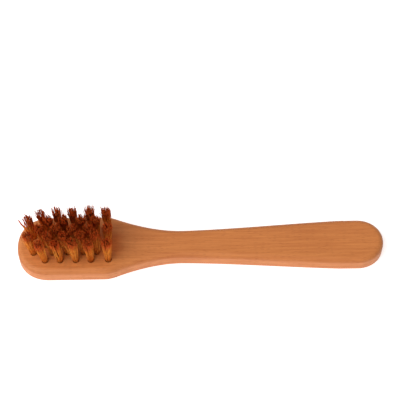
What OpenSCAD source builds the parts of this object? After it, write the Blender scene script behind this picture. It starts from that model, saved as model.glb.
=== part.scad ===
// Wooden-handled brass wire brush.
// One piece of beech is both the grip and the stock. Each tuft of brass wire is folded
// in a U, and a flat steel anchor pins its fold to the bottom of a blind hole.
// The brush lies on its back with the bristles up. +X points to the end of the grip.
// The origin is on the back face, in the middle of the brush's box.

/* [Wood] */
// Length of the brush
brush_len = 175; // [160:1:190]
// Thickness of the wood
wood_t = 9; // [8.5:0.1:12]
// Radius of the rounded edge around the face with the tufts
front_edge_r = 2.7; // [1:0.1:3.4]
// Radius of the rounded edge around the back face
back_edge_r = 1.0; // [0.6:0.1:2]

/* [Head] */
// Width of the head
head_w = 30; // [27:0.5:34]
// Length of the head's rounded end
head_cap = 15.3; // [13:0.1:18]
// From the head's end to the shoulders, where the width starts to fall
shoulder_at = 44.3; // [43:0.1:50]

/* [Grip] */
// Width of the neck, the narrowest place
neck_w = 14.3; // [10:0.1:18]
// From the head's end to the neck
neck_at = 77.9; // [70:0.1:90]
// Largest width of the grip
grip_w = 22.5; // [19:0.1:28]
// From the head's end to the place where the grip reaches that width
grip_at = 154; // [140:1:158]
// Length of the grip's rounded end
grip_cap = 12.3; // [10:0.1:15]

/* [Tufts] */
// Height of a tuft above the wood
tuft_h = 19.2; // [12:0.1:25]
// Diameter of a tuft where it leaves the wood
tuft_d = 3.1; // [2.4:0.1:3.4]
// Diameter of a tuft at its tips
tip_d = 4.8; // [3.2:0.1:4.8]
// Distance between two neighbouring rows
row_pitch = 4.15; // [4.1:0.05:4.6]
// How far the tips nearest the head's end lean towards that end
head_lean = 1.7; // [0:0.1:2]
// How far the tips nearest the neck lean towards the neck
neck_lean = 0.1; // [0:0.1:1.4]

/* [Holes and anchors] */
// Depth of a hole down to its drill point
hole_depth = 6; // [5:0.1:6.2]
// Clearance around a tuft in its hole
tuft_gap = 0.05; // [0.02:0.01:0.1]
// Thickness of an anchor's flat wire
anchor_t = 0.4; // [0.3:0.05:0.6]
// Height of an anchor
anchor_h = 1.6; // [1:0.1:2]
// How far each end of an anchor bites into the wood
anchor_bite = 0.5; // [0.2:0.1:0.6]

/* [Hidden] */
// Exponents of the curves that round the head's end, round the grip's end and hollow the neck
head_power = 2.2;
grip_power = 2.05;
hollow_power = 1.8;
// The grip widens partly along an S-curve and partly along a power curve
s_share = 0.35;
swell_power = 1.3;
// Width over which the shoulders' corners are softened
soften = 1.2;

// Distances of the holes from the head's end. The outer and middle rows hold the same
// places, and the two rows between them are staggered.
outer_at = [13.6, 20.7, 28.2, 35.4, 43.6];
inner_at = [8, 17.2, 24.2, 31.9, 38.1];
rows = 5;
columns = len(outer_at);

// Stations along each rounded end and between them, and steps around the rounded edges
cap_steps = 12;
body_steps = 30;
front_edge_steps = 6;
back_edge_steps = 3;

tuft_r = tuft_d / 2;
hole_r = tuft_r + tuft_gap;
drill_point_angle = 118;
drill_point_h = hole_r / tan(drill_point_angle / 2);
fold_h = 0.7;
fold_r = 0.9;
fold_corner = 0.5;
tip_corner = 0.4;
hole_floor = wood_t - hole_depth;
anchor_len = 2 * (hole_r + anchor_bite);
skin = 0.01;
// The free wires start a little inside the root, and leave a narrow ledge around them
sunk = 0.8;
ledge = 0.15;
$fn = 48;

wood_colour = [0.76, 0.48, 0.28];
brass_colour = [0.72, 0.45, 0.14];
steel_colour = [0.62, 0.63, 0.65];

row_numbers = [0 : rows - 1];
column_numbers = [0 : columns - 1];
function tuft_name(row, column) = str("tuft_r", row + 1, "_c", column + 1);

// ---- Places ----
function hole_at(row, column) = row % 2 == 0 ? outer_at[column] : inner_at[column];
function hole_x(row, column) = hole_at(row, column) - brush_len / 2;
function hole_y(row) = (row - (rows - 1) / 2) * row_pitch;
// Lean of a tuft's tips along X: it falls from one end of the head to the other
function lean(row, column) =
    let (share = (hole_at(row, column) - inner_at[0]) / (outer_at[columns - 1] - inner_at[0]))
    neck_lean * share - head_lean * (1 - share);

// ---- Outline ----
function smooth_step(u) = u * u * (3 - 2 * u);
function soft_min(a, b) = min(a, b) - pow(max(soften - abs(a - b), 0), 2) / (4 * soften);
// Share of the full width at a distance from the tip of a rounded end
function cap_share(d, cap, power) =
    d >= cap ? 1 : pow(1 - pow(1 - max(d, 0) / cap, power), 1 / power);
function hollow(at) =
    neck_w / 2
    + (head_w - neck_w) / 2 * pow((neck_at - at) / (neck_at - shoulder_at), hollow_power);
function swell(u) =
    neck_w / 2 + (grip_w - neck_w) / 2 * (s_share * smooth_step(u) + (1 - s_share) * pow(u, swell_power));
function half_width(at) =
    at < neck_at
        ? soft_min(head_w / 2, hollow(at)) * cap_share(at, head_cap, head_power)
        : swell(min((at - neck_at) / (grip_at - neck_at), 1))
            * cap_share(brush_len - at, grip_cap, grip_power);

// Stations are close together at the tips, where the outline turns fastest
body_len = brush_len - head_cap - grip_cap;
stations = concat(
    [for (i = [0 : cap_steps - 1]) head_cap * (1 - cos(90 * i / cap_steps))],
    [for (i = [0 : body_steps]) head_cap + body_len * i / body_steps],
    [for (i = [1 : cap_steps]) brush_len - grip_cap * (1 - sin(90 * i / cap_steps))]
);
last = len(stations) - 1;
outline = concat(
    [for (i = [0 : last]) [stations[i], -half_width(stations[i])]],
    [for (i = [last - 1 : -1 : 1]) [stations[i], half_width(stations[i])]]
);
ring_len = len(outline);

// A point of the outline, moved inwards at a right angle to it
function inset_point(i, inset) =
    let (
        ahead = outline[(i + 1) % ring_len],
        behind = outline[(i + ring_len - 1) % ring_len],
        way = (ahead - behind) / norm(ahead - behind)
    )
    outline[i] + inset * [-way[1], way[0]];

// Rings from the back face up to the front face: [inset, height] follows the rounded edges
edge_profile = concat(
    [for (k = [0 : back_edge_steps])
        let (turn = 90 * k / back_edge_steps)
        [back_edge_r * (1 - sin(turn)), back_edge_r * (1 - cos(turn))]],
    [for (k = [0 : front_edge_steps])
        let (turn = 90 * k / front_edge_steps)
        [front_edge_r * (1 - cos(turn)), wood_t - front_edge_r * (1 - sin(turn))]]
);
ring_count = len(edge_profile);

// ---- Sub-parts ----
// The solid piece of wood. Each cap is made of strips between mirrored points, because
// the outline is hollow at the neck.
module blank() {
    points = [
        for (level = edge_profile, i = [0 : ring_len - 1])
            let (p = inset_point(i, level[0])) [p[0] - brush_len / 2, p[1], level[1]]
    ];
    top = (ring_count - 1) * ring_len;
    sides = [
        for (k = [0 : ring_count - 2], i = [0 : ring_len - 1])
            let (a = k * ring_len + i, b = k * ring_len + (i + 1) % ring_len)
            [a, a + ring_len, b + ring_len, b]
    ];
    strips = [
        for (i = [0 : last - 1])
            let (j = (ring_len - i) % ring_len, k = ring_len - i - 1)
            i == 0 ? [0, 1, k] : i == last - 1 ? [i, last, j] : [i, i + 1, k, j]
    ];
    back = strips;
    front = [for (s = strips) [for (n = [len(s) - 1 : -1 : 0]) s[n] + top]];
    polyhedron(points = points, faces = concat(sides, back, front));
}

// A blind hole with the cone that a drill leaves
module hole() {
    rotate_extrude()
        polygon([
            [0, hole_floor - drill_point_h],
            [hole_r, hole_floor],
            [hole_r, wood_t + skin],
            [0, wood_t + skin]
        ]);
}

// A flat piece of wire that stands on edge across a hole
module anchor() {
    translate([-anchor_t / 2, -anchor_len / 2, hole_floor + fold_h])
        cube([anchor_t, anchor_len, anchor_h]);
}

module at_each_hole() {
    for (row = row_numbers, column = column_numbers)
        translate([hole_x(row, column), hole_y(row), 0])
            children();
}

module handle() {
    color(wood_colour)
        difference() {
            blank();
            at_each_hole() hole();
            at_each_hole() anchor();
        }
}

module tuft_anchors() {
    color(steel_colour)
        at_each_hole() anchor();
}

// The folded root fills its hole around the anchor, and the free wires spread to the tips
module tuft(row, column) {
    slant = lean(row, column);
    color(brass_colour)
        translate([hole_x(row, column), hole_y(row), 0]) {
            difference() {
                rotate_extrude()
                    polygon([
                        [0, hole_floor],
                        [fold_r, hole_floor],
                        [tuft_r, hole_floor + fold_corner],
                        [tuft_r, wood_t],
                        [0, wood_t]
                    ]);
                anchor();
            }
            translate([0, 0, wood_t])
                rotate([0, atan(slant / tuft_h), 0])
                    rotate_extrude()
                        polygon([
                            [0, -sunk],
                            [tuft_r - ledge, -sunk],
                            [tip_d / 2, tuft_h - tip_corner],
                            [tip_d / 2 - tip_corner, tuft_h],
                            [0, tuft_h]
                        ]);
        }
}

handle();
tuft_anchors();
for (row = row_numbers, column = column_numbers)
    tuft(row, column);
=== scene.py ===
"""Looks of a wooden-handled brass wire brush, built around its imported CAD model.

The handle is one piece of beech. Each tuft is a bunch of brass wires, folded in a U around
a flat steel anchor at the bottom of its hole. Lengths are in metres, in the row's frame.
"""

import math

import bmesh
import bpy
import numpy as np
from mathutils import Matrix, Vector


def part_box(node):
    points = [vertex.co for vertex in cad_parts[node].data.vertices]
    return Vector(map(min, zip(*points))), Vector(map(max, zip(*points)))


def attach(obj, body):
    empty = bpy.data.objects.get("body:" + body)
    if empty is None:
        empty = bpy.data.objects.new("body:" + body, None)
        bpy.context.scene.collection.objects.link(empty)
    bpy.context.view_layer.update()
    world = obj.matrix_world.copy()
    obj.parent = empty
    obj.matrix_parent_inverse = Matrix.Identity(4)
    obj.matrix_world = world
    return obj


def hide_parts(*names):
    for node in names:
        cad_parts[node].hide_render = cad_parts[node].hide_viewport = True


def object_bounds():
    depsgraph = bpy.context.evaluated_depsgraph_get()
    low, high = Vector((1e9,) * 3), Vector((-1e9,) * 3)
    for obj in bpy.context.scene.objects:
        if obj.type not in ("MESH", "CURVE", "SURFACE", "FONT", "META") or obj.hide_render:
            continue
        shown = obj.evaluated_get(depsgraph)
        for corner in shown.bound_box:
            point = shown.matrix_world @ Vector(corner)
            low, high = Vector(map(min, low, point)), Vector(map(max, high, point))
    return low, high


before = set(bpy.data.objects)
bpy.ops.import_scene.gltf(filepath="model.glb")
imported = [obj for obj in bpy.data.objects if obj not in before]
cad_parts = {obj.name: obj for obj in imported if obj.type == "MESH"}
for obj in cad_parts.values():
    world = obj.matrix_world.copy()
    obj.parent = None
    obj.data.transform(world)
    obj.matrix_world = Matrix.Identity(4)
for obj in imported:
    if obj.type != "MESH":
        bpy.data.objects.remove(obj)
cad_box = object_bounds()

MM = 0.001
BODY = "root"
SEED = 412

# ---- Dimensions, worked out from the frame ----
handle_low, handle_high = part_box("handle")
anchor_low, anchor_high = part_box("tuft_anchors")
LENGTH = handle_high.x - handle_low.x
HEAD_END = handle_low.x
HEAD_W = handle_high.y - handle_low.y
WOOD_T = handle_high.z
ANCHOR_BOTTOM = anchor_low.z
ANCHOR_TOP = anchor_high.z
TIP_Z = cad_box[1].z

# Shape of the handle, as in the design. Places along it are distances from the head's end
FRONT_EDGE_R = 2.7 * MM
BACK_EDGE_R = 1.0 * MM
FRONT_EDGE_STEPS = 12
BACK_EDGE_STEPS = 7
HEAD_CAP = 15.3 * MM
SHOULDER_AT = 44.3 * MM
NECK_W = 14.3 * MM
NECK_AT = 77.9 * MM
GRIP_W = 22.5 * MM
GRIP_AT = 154 * MM
GRIP_CAP = 12.3 * MM
# Exponents of the rounded ends, the hollow behind the head and the swell of the grip
HEAD_POWER = 2.2
GRIP_POWER = 2.05
HOLLOW_POWER = 1.8
SWELL_POWER = 1.3
# How much of the swell is a smooth step, and how softly the head's side runs into the hollow
S_SHARE = 0.35
SOFTEN = 1.2 * MM

# Holes. The floor is where the full width ends and the drill point begins
ROWS = 5
COLUMNS = 5
HOLE_R = 1.6 * MM
HOLE_FLOOR = 3.0 * MM
HOLE_SIDES = 40
DRILL_POINT_H = 0.96 * MM
MOUTH_CHAMFER = 0.10 * MM
ANCHOR_T = 0.4 * MM

# Wires
WIRE_R = 0.14 * MM
WIRE_SIDES = 5
WIRES_PER_TUFT = 38
LEG_STATIONS = 13
BUNDLES = 22
TIP_R = 2.35 * MM
# From the wire's middle line to the anchor's face
ANCHOR_GAP = WIRE_R * 1.2
# A wire's middle line ends at most this far above the CAD model's highest point
TIP_OVER = 0.7 * MM
# How much the wires differ. Each spread is a standard deviation, and that of a leg's length
# is cut off at its most
LENGTH_SPREAD = 0.28 * MM
LENGTH_SPREAD_MOST = 0.6 * MM
TUFT_SPREAD = 0.2 * MM
BUNDLE_SPREAD = 0.13 * MM
WIRE_SPREAD = 0.14 * MM
BENT_SPREAD = 0.12 * MM
# How much lower the tips at the rim of a tuft are than those in its middle
RIM_DROP = 0.3 * MM
# How far a wire swings out of its line, before its own share of it
CRIMP = 0.13 * MM
# Which part of the way to their bundle's middle wires are drawn, and which share stands loose
BUNDLE_GATHER = 0.25
LOOSE_SHARE = 0.16

# Tufts that aren't like the rest, by row and column: one is short, and one has wires bent
# out towards the head's end, whose tips then lie lower
SHORT = {(5, 1): 2.4 * MM}
BENT = {(4, 1): (-6.0 * MM, 0.7 * MM)}
BENT_WIRES = range(10, 18)
BENT_DROP = 2.5 * MM

# Painted shadow of the tufts on the wood, tinted orange as painted reflection of the brass: a block
# along the head's middle, which fades out over its reach
TUFT_SHADE_FROM = 12 * MM
TUFT_SHADE_TO = 46 * MM
TUFT_SHADE_HALF_W = 2 * MM
TUFT_SHADE_REACH = 7 * MM

# Print on the back: a ring between two bars
MARK_AT = 27 * MM
MARK_RING_R = 3.2 * MM
MARK_BAR_AT = 10.2 * MM
MARK_BAR_HALF_L = 4.6 * MM
MARK_BAR_HALF_W = 0.9 * MM
MARK_LINE_HALF_W = 0.8 * MM
MARK_DEPTH = 0.05 * MM


# ---- Outline of the handle ----
def quarter_turn(steps):
    """Angles from 0 to a right angle."""
    return [math.pi / 2 * k / steps for k in range(steps + 1)]


def smooth_step(u):
    return u * u * (3 - 2 * u)


def soft_min(a, b):
    """The smaller of two lengths, with a rounded change from one to the other."""
    return min(a, b) - max(SOFTEN - abs(a - b), 0) ** 2 / (4 * SOFTEN)


def cap_share(d, cap, power):
    """Share of the full width at a distance from the tip of a rounded end."""
    if d >= cap:
        return 1.0
    return (1 - (1 - max(d, 0) / cap) ** power) ** (1 / power)


def half_width(at):
    """Half of the handle's width at a distance from the head's end."""
    if at < NECK_AT:
        fall = ((NECK_AT - at) / (NECK_AT - SHOULDER_AT)) ** HOLLOW_POWER
        hollow = NECK_W / 2 + (HEAD_W - NECK_W) / 2 * fall
        return soft_min(HEAD_W / 2, hollow) * cap_share(at, HEAD_CAP, HEAD_POWER)
    u = min((at - NECK_AT) / (GRIP_AT - NECK_AT), 1)
    rise = S_SHARE * smooth_step(u) + (1 - S_SHARE) * u**SWELL_POWER
    full = NECK_W / 2 + (GRIP_W - NECK_W) / 2 * rise
    return full * cap_share(LENGTH - at, GRIP_CAP, GRIP_POWER)


def outline_points(cap_steps=32, body_steps=110):
    """The outline as a closed ring, along the near side to the grip and back along the far
    side, and the index in it of the point at the grip's end."""
    body = LENGTH - HEAD_CAP - GRIP_CAP
    quarter = quarter_turn(cap_steps)
    stations = [HEAD_CAP * (1 - math.cos(a)) for a in quarter[:-1]]
    stations += [HEAD_CAP + body * i / body_steps for i in range(body_steps + 1)]
    stations += [LENGTH - GRIP_CAP * (1 - math.sin(a)) for a in quarter[1:]]
    near = [(at, -half_width(at)) for at in stations]
    far = [(at, half_width(at)) for at in reversed(stations[1:-1])]
    return np.array(near + far), len(stations) - 1


def inset_ring(ring, inset):
    """The ring moved inwards by inset, at a right angle to itself."""
    way = np.roll(ring, -1, axis=0) - np.roll(ring, 1, axis=0)
    way /= np.linalg.norm(way, axis=1, keepdims=True)
    return ring + inset * np.stack([-way[:, 1], way[:, 0]], axis=1)


# ---- Small helpers ----
def new_object(name, mesh):
    ob = bpy.data.objects.new(name, mesh)
    bpy.context.scene.collection.objects.link(ob)
    return ob


def store_on_points(mesh, name, values):
    """A number for each point of mesh, which its material reads by name."""
    attribute = mesh.attributes.new(name, "FLOAT", "POINT")
    attribute.data.foreach_set("value", values.astype(np.float32))


def new_material(name):
    material = bpy.data.materials.new(name)
    material.use_nodes = True
    return material, material.node_tree, material.node_tree.nodes["Principled BSDF"]


def plug(tree, socket, value):
    """Links value to socket if it is a socket itself, and sets it if not."""
    if isinstance(value, bpy.types.NodeSocket):
        tree.links.new(value, socket)
    else:
        socket.default_value = value


def add_node(tree, kind, inputs=None, **settings):
    node = tree.nodes.new(kind)
    for key, value in settings.items():
        setattr(node, key, value)
    for key, value in (inputs or {}).items():
        plug(tree, node.inputs[key], value)
    return node


def coordinates(tree, kind):
    return add_node(tree, "ShaderNodeTexCoord").outputs[kind]


def stored(tree, name):
    """A number that was stored on the mesh's points."""
    return add_node(tree, "ShaderNodeAttribute", attribute_name=name).outputs["Fac"]


def maths(tree, operation, a, b=0.0):
    return add_node(tree, "ShaderNodeMath", {0: a, 1: b}, operation=operation).outputs[0]


def times(tree, a, b):
    return maths(tree, "MULTIPLY", a, b)


def away_from(tree, value, middle=0.0):
    """How far value is from middle, on either side."""
    return maths(tree, "ABSOLUTE", maths(tree, "SUBTRACT", value, middle))


def past(tree, value, limit):
    """How far value is past limit, and 0 below it."""
    return maths(tree, "MAXIMUM", maths(tree, "SUBTRACT", value, limit), 0.0)


def diagonal(tree, a, b):
    """The straight distance of a step of a and a step of b across it."""
    squares = maths(tree, "ADD", maths(tree, "POWER", a, 2.0), maths(tree, "POWER", b, 2.0))
    return maths(tree, "SQRT", squares)


def ramp_value(tree, value, low, high, to_low=0.0, to_high=1.0):
    """value from low..high turned smoothly into to_low..to_high."""
    inputs = {"Value": value, "From Min": low, "From Max": high, "To Min": to_low, "To Max": to_high}
    ramp = add_node(tree, "ShaderNodeMapRange", inputs, interpolation_type="SMOOTHSTEP")
    return ramp.outputs["Result"]


def mix_colour(tree, share, a, b, blend="MIX"):
    # The mix node has several inputs of each name. These are the numbers of those for colours
    inputs = {0: share, 6: a, 7: b}
    return add_node(tree, "ShaderNodeMix", inputs, data_type="RGBA", blend_type=blend).outputs[2]


def stretched(tree, coords, scale, offset=(0, 0, 0)):
    inputs = {"Vector": coords, "Scale": scale, "Location": offset}
    return add_node(tree, "ShaderNodeMapping", inputs).outputs["Vector"]


def noise(tree, vector, scale=1.0, detail=2.0, roughness=0.5):
    inputs = {"Vector": vector, "Scale": scale, "Detail": detail, "Roughness": roughness}
    return add_node(tree, "ShaderNodeTexNoise", inputs).outputs["Fac"]


def add_bump(tree, shader, height, strength, distance):
    inputs = {"Height": height, "Strength": strength, "Distance": distance}
    bump = add_node(tree, "ShaderNodeBump", inputs)
    tree.links.new(bump.outputs["Normal"], shader.inputs["Normal"])


# ---- Materials ----
def growth_rings(tree, where):
    """Growth rings around a pith that lies outside the brush."""
    inputs = {
        "Vector": stretched(tree, where, (0.25, 1, 1), (0, 0.006, 0.031)),
        "Scale": 70,
        "Distortion": 5.0,
        "Detail": 2.0,
        "Detail Scale": 0.35,
    }
    settings = {"wave_type": "RINGS", "rings_direction": "X"}
    return add_node(tree, "ShaderNodeTexWave", inputs, **settings).outputs["Fac"]


def ray_flecks(tree, where):
    """Short dashes along the grain: 1 on a fleck, and 0 between them."""
    inputs = {"Vector": stretched(tree, where, (330, 2300, 2300)), "Scale": 1.0, "Randomness": 1.0}
    cells = add_node(tree, "ShaderNodeTexVoronoi", inputs, feature="F1")
    dash = ramp_value(tree, cells.outputs["Distance"], 0.16, 0.42, 1.0, 0.0)
    chance = add_node(tree, "ShaderNodeSeparateColor", {"Color": cells.outputs["Color"]}).outputs[0]
    return times(tree, dash, ramp_value(tree, chance, 0.35, 0.5))


def tuft_painted_shade(tree, place):
    """How strongly the tufts' painted shadow and orange painted reflection darken the wood: most between
    the tufts, and none away from them.
    """
    along = away_from(tree, place.outputs["X"], HEAD_END + (TUFT_SHADE_FROM + TUFT_SHADE_TO) / 2)
    past_x = past(tree, along, (TUFT_SHADE_TO - TUFT_SHADE_FROM) / 2)
    past_y = past(tree, away_from(tree, place.outputs["Y"]), TUFT_SHADE_HALF_W)
    near = ramp_value(tree, diagonal(tree, past_x, past_y), 0.0, TUFT_SHADE_REACH, 1.0, 0.0)
    front = maths(tree, "GREATER_THAN", place.outputs["Z"], WOOD_T / 2)
    return times(tree, near, front)


def printed_mark(tree, place):
    """1 on a plain printed emblem on the back of the head, a ring between two bars, and 0 elsewhere."""
    x = away_from(tree, place.outputs["X"], HEAD_END + MARK_AT)
    y = away_from(tree, place.outputs["Y"])
    off_ring = away_from(tree, diagonal(tree, x, y), MARK_RING_R)
    ring = maths(tree, "LESS_THAN", off_ring, MARK_LINE_HALF_W)
    in_length = maths(tree, "LESS_THAN", away_from(tree, x, MARK_BAR_AT), MARK_BAR_HALF_L)
    bars = times(tree, in_length, maths(tree, "LESS_THAN", y, MARK_BAR_HALF_W))
    back = maths(tree, "LESS_THAN", place.outputs["Z"], MARK_DEPTH)
    return times(tree, maths(tree, "MAXIMUM", ring, bars), back)


def beech():
    """Sanded beech under a thin satin lacquer, with its grain along X."""
    material, tree, shader = new_material("beech")
    where = coordinates(tree, "Object")
    place = add_node(tree, "ShaderNodeSeparateXYZ", {"Vector": where})
    facing = add_node(tree, "ShaderNodeSeparateXYZ", {"Vector": coordinates(tree, "Normal")})

    # Fibres, streaks and broad patches, from fine to coarse
    fibre = noise(tree, stretched(tree, where, (140, 4200, 4200)), detail=3, roughness=0.6)
    streak = noise(tree, stretched(tree, where, (45, 900, 900)), detail=3, roughness=0.55)
    patch = noise(tree, stretched(tree, where, (28, 75, 75)), detail=2)
    rings = growth_rings(tree, where)
    fleck = ray_flecks(tree, where)

    pale = (0.635, 0.216, 0.053, 1)
    deep = (0.515, 0.156, 0.034, 1)
    colour = mix_colour(tree, ramp_value(tree, streak, 0.3, 0.7), pale, deep)
    layers = [
        (ramp_value(tree, rings, 0.0, 1.0, 0.0, 0.22), (0.45, 0.122, 0.028, 1)),
        (ramp_value(tree, patch, 0.3, 0.7, 0.0, 0.26), (0.66, 0.226, 0.054, 1)),
        (ramp_value(tree, fibre, 0.35, 0.75, 0.0, 0.30), (0.43, 0.126, 0.030, 1)),
        (times(tree, fleck, 0.30), (0.29, 0.070, 0.018, 1)),
    ]
    for share, layer_colour in layers:
        colour = mix_colour(tree, share, colour, layer_colour)
    # End grain drinks more lacquer, and shows its pores as dots
    end = ramp_value(tree, away_from(tree, facing.outputs["X"]), 0.55, 1.0, 0.0, 0.55)
    pores = noise(tree, stretched(tree, where, (2600, 2600, 2600)), detail=1)
    end_pale = (0.48, 0.156, 0.042, 1)
    end_deep = (0.33, 0.096, 0.026, 1)
    end_colour = mix_colour(tree, ramp_value(tree, pores, 0.4, 0.65), end_pale, end_deep)
    colour = mix_colour(tree, end, colour, end_colour)
    # Painted shade: the rounded edges are made a little darker, so that the light falling on them
    # doesn't make them brighter than the faces
    edge = times(tree, stored(tree, "edge"), 0.7)
    colour = mix_colour(tree, edge, colour, (0.80, 0.76, 0.70, 1), "MULTIPLY")
    # Painted shade: the wood among and beside the tufts is darkened and tinted orange, for their shadow
    # and the light the brass throws back
    colour = mix_colour(tree, tuft_painted_shade(tree, place), colour, (0.93, 0.66, 0.30, 1), "MULTIPLY")
    red_ink = (0.70, 0.014, 0.006, 1)
    colour = mix_colour(tree, printed_mark(tree, place), colour, red_ink)
    tree.links.new(colour, shader.inputs["Base Color"])

    rough = ramp_value(tree, streak, 0.25, 0.75, 0.50, 0.62)
    rough = maths(tree, "ADD", rough, times(tree, fleck, 0.12))
    tree.links.new(rough, shader.inputs["Roughness"])
    height = maths(tree, "SUBTRACT", times(tree, fibre, 0.6), times(tree, fleck, 0.8))
    add_bump(tree, shader, height, 0.25, 0.03 * MM)
    shader.inputs["Specular IOR Level"].default_value = 0.35
    shader.inputs["Coat Weight"].default_value = 0.08
    shader.inputs["Coat Roughness"].default_value = 0.38
    return material


def brass_wire():
    """Drawn brass wire, tarnished a little differently on each wire, with painted shade that darkens and
    reddens each wire towards its tip.
    """
    material, tree, shader = new_material("brass_wire")
    where = coordinates(tree, "Object")
    spots = noise(tree, where, scale=900, detail=3, roughness=0.6)
    dull = (0.62, 0.145, 0.012, 1)
    bright = (1.0, 0.54, 0.11, 1)
    colour = mix_colour(tree, stored(tree, "shade"), dull, bright)
    layers = [
        # Painted shade: the upper part of each wire darkens to red-brown towards the tip, for the shade
        # deep among the wires
        (ramp_value(tree, stored(tree, "along"), 0.55, 0.95, 0.0, 0.85), (0.44, 0.036, 0.006, 1)),
        (ramp_value(tree, spots, 0.5, 0.75, 0.0, 0.35), (0.45, 0.10, 0.012, 1)),
    ]
    for share, layer_colour in layers:
        colour = mix_colour(tree, share, colour, layer_colour)
    tree.links.new(colour, shader.inputs["Base Color"])
    tree.links.new(ramp_value(tree, spots, 0.3, 0.7, 0.28, 0.44), shader.inputs["Roughness"])
    drawn = noise(tree, stretched(tree, where, (9000, 9000, 500)), detail=1)
    add_bump(tree, shader, drawn, 0.2, 0.01 * MM)
    shader.inputs["Metallic"].default_value = 0.75
    shader.inputs["Specular Tint"].default_value = (0.9, 0.45, 0.16, 1)
    return material


def flat_steel_wire():
    """Bright drawn steel, with fine lines along the wire."""
    material, tree, shader = new_material("anchor_steel")
    lines = noise(tree, stretched(tree, coordinates(tree, "Object"), (9000, 400, 9000)), detail=2)
    colour = mix_colour(tree, lines, (0.42, 0.43, 0.45, 1), (0.66, 0.67, 0.69, 1))
    tree.links.new(colour, shader.inputs["Base Color"])
    tree.links.new(ramp_value(tree, lines, 0.3, 0.7, 0.25, 0.4), shader.inputs["Roughness"])
    shader.inputs["Metallic"].default_value = 1.0
    return material


def floor_white():
    """Matt white that glows, so that the floor is evenly white around the brush."""
    material, tree, shader = new_material("floor")
    mottle = noise(tree, coordinates(tree, "Object"), scale=40, detail=2)
    tone = mix_colour(tree, mottle, (0.93, 0.93, 0.93, 1), (0.95, 0.95, 0.95, 1))
    tree.links.new(tone, shader.inputs["Base Color"])
    shader.inputs["Roughness"].default_value = 0.9
    shader.inputs["Specular IOR Level"].default_value = 0.1
    shader.inputs["Emission Color"].default_value = (1, 1, 1, 1)
    shader.inputs["Emission Strength"].default_value = 0.50
    return material


# ---- Camera, floor and light ----
def add_camera():
    """The camera at the photograph's viewing angle: high in front of the brush, with a long lens."""
    at = Vector((-1.55, -315.0, 670.62)) * MM
    aim = Vector((0.14, 27.2, 0)) * MM
    roll = math.radians(-0.62)
    data = bpy.data.cameras.new("camera")
    data.sensor_width = 36
    data.lens = 138.1
    data.clip_start = 0.01
    camera = new_object("camera", data)
    look = (aim - at).to_track_quat("-Z", "Y").to_matrix().to_4x4()
    camera.matrix_world = Matrix.Translation(at) @ look @ Matrix.Rotation(roll, 4, "Z")
    bpy.context.scene.camera = camera


def add_softbox(name, at, aim, size, power):
    data = bpy.data.lights.new(name, "AREA")
    data.shape = "RECTANGLE"
    data.size, data.size_y = size
    data.energy = power
    lamp = new_object(name, data)
    lamp.location = at
    lamp.rotation_euler = (Vector(aim) - Vector(at)).to_track_quat("-Z", "Y").to_euler()


def add_stage():
    """A plain white floor, a softbox at the front left, a larger and stronger one above it,
    and even light all round."""
    half = 6
    # A hair under the back face, so that the two never share a plane
    low = -0.05 * MM
    mesh = bpy.data.meshes.new("floor")
    corners = [(-half, -half, low), (half, -half, low), (half, half, low), (-half, half, low)]
    mesh.from_pydata(corners, [], [(0, 1, 2, 3)])
    mesh.materials.append(floor_white())
    floor = new_object("floor", mesh)

    middle = (0, 0, 0.01)
    add_softbox("front_softbox", (-0.9, -1.1, 0.62), middle, (1.5, 0.7), 2.5)
    add_softbox("top_softbox", (-0.9, -0.45, 1.1), middle, (1.6, 1.6), 19.2)
    world = bpy.data.worlds.new("studio")
    world.use_nodes = True
    world.node_tree.nodes["Background"].inputs["Color"].default_value = (1, 1, 1, 1)
    world.node_tree.nodes["Background"].inputs["Strength"].default_value = 0.51
    bpy.context.scene.world = world
    bpy.context.scene.view_settings.view_transform = "Standard"


# ---- Handle ----
def blank_mesh():
    """The solid piece of wood: rings around the outline, closed by strips between mirrored points."""
    ring, last = outline_points()
    flat_rim = 0.5 * MM
    levels = [(BACK_EDGE_R + flat_rim, 0.0)]
    for a in quarter_turn(BACK_EDGE_STEPS):
        levels.append((BACK_EDGE_R * (1 - math.sin(a)), BACK_EDGE_R * (1 - math.cos(a))))
    for a in quarter_turn(FRONT_EDGE_STEPS):
        levels.append((FRONT_EDGE_R * (1 - math.cos(a)), WOOD_T - FRONT_EDGE_R * (1 - math.sin(a))))
    levels.append((FRONT_EDGE_R + flat_rim, WOOD_T))
    count = len(ring)
    bm = bmesh.new()
    rings = []
    for inset, z in levels:
        points = inset_ring(ring, inset)
        rings.append([bm.verts.new((HEAD_END + x, y, z)) for x, y in points])
    for low, high in zip(rings, rings[1:]):
        for i in range(count):
            j = (i + 1) % count
            bm.faces.new((low[i], low[j], high[j], high[i]))
    for loop, flip in ((rings[0], True), (rings[-1], False)):
        for i in range(last):
            corners = [loop[i], loop[i + 1], loop[count - i - 1], loop[(count - i) % count]]
            face = list(dict.fromkeys(corners))
            bm.faces.new(reversed(face) if flip else face)
    mesh = bpy.data.meshes.new("handle_wood")
    bm.to_mesh(mesh)
    bm.free()
    return mesh


def lathe(bm, centre, profile, sides):
    """Adds a closed solid of revolution about Z to bm. The profile runs from the axis back to it."""
    rings = []
    for radius, z in profile:
        if radius == 0:
            rings.append([bm.verts.new((centre[0], centre[1], z))])
            continue
        angles = [2 * math.pi * k / sides for k in range(sides)]
        spots = [(centre[0] + radius * math.cos(a), centre[1] + radius * math.sin(a), z) for a in angles]
        rings.append([bm.verts.new(p) for p in spots])
    for low, high in zip(rings, rings[1:]):
        for k in range(sides):
            j = (k + 1) % sides
            corners = [low[k % len(low)], low[j % len(low)], high[j % len(high)], high[k % len(high)]]
            bm.faces.new(list(dict.fromkeys(corners)))


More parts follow.
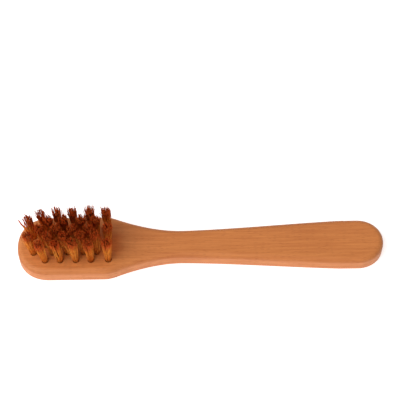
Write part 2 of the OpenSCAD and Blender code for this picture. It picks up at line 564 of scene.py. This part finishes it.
def hole_cutters(centres):
    """A drill's shape for each hole, with a small chamfer at the mouth."""
    bm = bmesh.new()
    above = 1 * MM
    profile = [
        (0, HOLE_FLOOR - DRILL_POINT_H),
        (HOLE_R, HOLE_FLOOR),
        (HOLE_R, WOOD_T - MOUTH_CHAMFER),
        (HOLE_R + MOUTH_CHAMFER + above, WOOD_T + above),
        (0, WOOD_T + above),
    ]
    for centre in centres:
        lathe(bm, centre, profile, HOLE_SIDES)
    mesh = bpy.data.meshes.new("hole_cutters")
    bm.to_mesh(mesh)
    bm.free()
    return new_object("hole_cutters", mesh)


def drill_holes(handle, centres):
    """Cuts the holes out of the handle, which gets a new mesh."""
    cutters = hole_cutters(centres)
    cut = handle.modifiers.new("holes", "BOOLEAN")
    cut.operation = "DIFFERENCE"
    cut.solver = "EXACT"
    cut.object = cutters
    graph = bpy.context.evaluated_depsgraph_get()
    mesh = bpy.data.meshes.new_from_object(handle.evaluated_get(graph))
    handle.modifiers.clear()
    handle.data = mesh
    bpy.data.objects.remove(cutters)
    mesh.name = "handle_wood"


def smooth_but_for_sharp_edges(mesh):
    """Smooth shading everywhere, except across edges sharper than 30 degrees."""
    sharp = math.radians(30)
    bm = bmesh.new()
    bm.from_mesh(mesh)
    for face in bm.faces:
        face.smooth = True
        face.material_index = 0
    for edge in bm.edges:
        edge.smooth = len(edge.link_faces) == 2 and edge.calc_face_angle(0) < sharp
    bm.to_mesh(mesh)
    bm.free()


def store_edge_share(mesh):
    """How much of a rounded edge each point is: 1 at half of the rounding's height, and 0 on
    the flat faces and on the sides."""
    z = np.array([v.co.z for v in mesh.vertices])
    depth = np.minimum(z / BACK_EDGE_R, (WOOD_T - z) / FRONT_EDGE_R)
    store_on_points(mesh, "edge", np.where(depth < 1, np.sin(np.pi * np.clip(depth, 0, 1)), 0))


def make_handle(material, centres):
    handle = new_object("handle_wood", blank_mesh())
    drill_holes(handle, centres)
    handle.data.materials.clear()
    handle.data.materials.append(material)
    smooth_but_for_sharp_edges(handle.data)
    store_edge_share(handle.data)
    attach(handle, BODY)
    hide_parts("handle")


# ---- Tufts ----
def disc_spots(rng, count):
    """Evenly spread places in a unit disc, in a left and a right half of count each."""
    golden = math.pi * (3 - math.sqrt(5))
    k = np.arange(2 * count)
    radius = np.sqrt((k + 0.5) / (2 * count))
    angle = k * golden + rng.uniform(0, 2 * math.pi)
    spots = np.stack([radius * np.cos(angle), radius * np.sin(angle)], axis=1)
    spots += rng.normal(0, 0.03, spots.shape)
    order = np.argsort(spots[:, 0])
    left, right = spots[order[:count]], spots[order[count:]]
    return left[np.argsort(left[:, 1])], right[np.argsort(right[:, 1])]


def leg(rng, spot, side, centre, height, tip):
    """Points of one leg of a wire, from beside the anchor up to its tip, and the share of the
    way up at each of them."""
    free_r = HOLE_R - 1.6 * WIRE_R
    beside = ANCHOR_T / 2 + ANCHOR_GAP
    at_mouth = spot * free_r
    x_fold = side * (beside + (free_r - beside) * min(abs(spot[0]) * 0.8, 1))
    root = np.array([x_fold, at_mouth[1] * 0.9])
    longer = np.clip(rng.normal(0, LENGTH_SPREAD), -LENGTH_SPREAD_MOST, LENGTH_SPREAD_MOST)
    tip_z = min(WOOD_T + height + longer - RIM_DROP * float(spot @ spot), TIP_Z + TIP_OVER)

    # Above the wood: from the mouth of the hole to the tip, bowed and a little crimped
    share = np.linspace(0, 1, LEG_STATIONS)
    bow = rng.uniform(0.8, 1.25)
    way = share[:, None] ** bow
    free = at_mouth + (tip - at_mouth) * way
    crimp = CRIMP * rng.uniform(0.5, 1.3)
    turn = rng.uniform(0, 2 * math.pi)
    phase = rng.uniform(0, 2 * math.pi)
    waves = rng.uniform(1.6, 2.6)
    swing = crimp * np.sin(2 * math.pi * waves * share + phase) * np.minimum(share * 4, 1)
    free = free + swing[:, None] * np.array([math.cos(turn), math.sin(turn)])
    free_z = WOOD_T + (tip_z - WOOD_T) * share

    # In the hole: past the anchor's side, and clear of it
    below = np.array([root, root * 0.6 + at_mouth * 0.4])
    below_z = np.array([ANCHOR_BOTTOM, ANCHOR_TOP + 0.3 * MM])
    below[1, 0] = side * max(abs(below[1, 0]), beside)
    xy = np.concatenate([below, free]) + centre
    z = np.concatenate([below_z, free_z])
    along = np.concatenate([[0, 0], share])
    return np.column_stack([xy, z]), along


def folded_wire(rng, spots, tips, centre, heights):
    """A whole wire: down one leg, under the anchor and up the other. Also the share of the way up."""
    left, along_left = leg(rng, spots[0], -1, centre, heights[0], tips[0])
    right, along_right = leg(rng, spots[1], 1, centre, heights[1], tips[1])
    reach = (right[0, 0] - left[0, 0]) / 2
    middle = (right[0] + left[0]) / 2
    drop = ANCHOR_GAP + (ANCHOR_BOTTOM - HOLE_FLOOR - 2.4 * WIRE_R) * reach / HOLE_R
    angles = np.radians([45, 90, 135])
    fold = np.stack([
        middle[0] - reach * np.cos(angles),
        np.linspace(left[0, 1], right[0, 1], 5)[1:-1],
        middle[2] - drop * np.sin(angles),
    ], axis=1)
    path = np.concatenate([left[::-1], fold, right])
    along = np.concatenate([along_left[::-1], [0, 0, 0], along_right])
    return path, along


def tube(path, radius, sides):
    """Points and faces of a round wire along a path that nowhere runs along Y."""
    way = np.gradient(path, axis=0)
    way /= np.linalg.norm(way, axis=1, keepdims=True)
    across = np.cross(way, (0, 1, 0))
    across /= np.linalg.norm(across, axis=1, keepdims=True)
    up = np.cross(across, way)
    angles = np.arange(sides) * 2 * math.pi / sides
    cosines = np.cos(angles)[None, :, None]
    sines = np.sin(angles)[None, :, None]
    circle = radius * (cosines * across[:, None, :] + sines * up[:, None, :])
    points = (path[:, None, :] + circle).reshape(-1, 3)
    count = len(path)
    faces = []
    for i in range(count - 1):
        for k in range(sides):
            j = (k + 1) % sides
            a, b = i * sides, (i + 1) * sides
            faces.append((a + k, b + k, b + j, a + j))
    faces.append(tuple(range(sides)))
    faces.append(tuple((count - 1) * sides + k for k in reversed(range(sides))))
    return points, faces


def bundled(rng, spots, lean):
    """Where the wires at spots have their tips, gathered into bundles, and how bright each wire is."""
    middles = spots[rng.choice(len(spots), BUNDLES, replace=False)]
    gaps = np.linalg.norm(spots[:, None] - middles[None], axis=2)
    bundle = gaps.argmin(axis=1)
    flare = TIP_R * rng.uniform(0.90, 1.12, BUNDLES)
    drift = rng.normal(0, BUNDLE_SPREAD, (BUNDLES, 2))
    gathered = spots + (middles[bundle] - spots) * BUNDLE_GATHER
    tips = gathered * flare[bundle][:, None] + drift[bundle] + lean
    tips += rng.normal(0, WIRE_SPREAD, tips.shape)
    loose = rng.random(len(spots)) < LOOSE_SHARE
    tips += spots * (loose * rng.uniform(0.3, 1.2, len(spots)))[:, None] * MM
    shade = 0.6 * rng.random(BUNDLES)[bundle] + 0.4 * rng.random(len(spots))
    return tips, shade


def make_tuft(name, node, rng, material, centre, height, lean, bent):
    """One tuft of folded wires at its hole. bent is how far some of its wires are bent aside."""
    left, right = disc_spots(rng, WIRES_PER_TUFT)
    tips, shades = bundled(rng, np.concatenate([left, right]), lean)
    all_points, all_faces, all_along, all_shade = [], [], [], []
    offset = 0
    for i in range(WIRES_PER_TUFT):
        pair = [tips[i], tips[i + WIRES_PER_TUFT]]
        heights = (height, height)
        if bent is not None and i in BENT_WIRES:
            pair[0] = np.array(bent) * rng.uniform(0.9, 1.0) + rng.normal(0, BENT_SPREAD, 2)
            heights = (height - BENT_DROP, height)
        path, along = folded_wire(rng, (left[i], right[i]), pair, centre, heights)
        points, faces = tube(path, WIRE_R, WIRE_SIDES)
        half = len(path) // 2
        shade = np.where(np.arange(len(path)) < half, shades[i], shades[i + WIRES_PER_TUFT])
        all_points.append(points)
        all_faces += [tuple(k + offset for k in face) for face in faces]
        all_along.append(np.repeat(along, WIRE_SIDES))
        all_shade.append(np.repeat(shade, WIRE_SIDES))
        offset += len(points)
    mesh = bpy.data.meshes.new(name)
    mesh.from_pydata(np.concatenate(all_points).tolist(), [], all_faces)
    store_on_points(mesh, "along", np.concatenate(all_along))
    store_on_points(mesh, "shade", np.concatenate(all_shade))
    mesh.shade_smooth()
    mesh.materials.append(material)
    tuft = new_object(name, mesh)
    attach(tuft, BODY)
    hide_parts(node)


def cad_points(node):
    return np.array([v.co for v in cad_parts[node].data.vertices])


def middle_of(points):
    """The middle, in X and Y, of the box around points."""
    return (points[:, :2].max(0) + points[:, :2].min(0)) / 2


def hole_centre(node):
    """Where a tuft's hole is, from the lowest points of its CAD solid."""
    points = cad_points(node)
    return middle_of(points[points[:, 2] < HOLE_FLOOR + 0.1 * MM])


def tip_centre(node):
    """Where a tuft's tips are, from the highest points of its CAD solid."""
    points = cad_points(node)
    return middle_of(points[points[:, 2] > TIP_Z - 1 * MM])


def make_tufts(material, centres):
    """All the tufts, from one run of random numbers in a fixed order."""
    rng = np.random.default_rng(SEED)
    for (row, column), centre in centres.items():
        node = f"tuft_r{row}_c{column}"
        lean = tip_centre(node) - centre + rng.normal(0, TUFT_SPREAD, 2)
        height = TIP_Z - WOOD_T - SHORT.get((row, column), 0) + rng.normal(0, TUFT_SPREAD)
        bent = BENT.get((row, column))
        make_tuft(f"wires_r{row}_c{column}", node, rng, material, centre, height, lean, bent)


# ---- The brush ----
add_camera()
add_stage()
wood = beech()
wires = brass_wire()
steel = flat_steel_wire()

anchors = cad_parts["tuft_anchors"]
anchors.data.materials.clear()
anchors.data.materials.append(steel)

places = [(row, column) for row in range(1, ROWS + 1) for column in range(1, COLUMNS + 1)]
centres = {(row, column): hole_centre(f"tuft_r{row}_c{column}") for row, column in places}
make_handle(wood, list(centres.values()))
make_tufts(wires, centres)
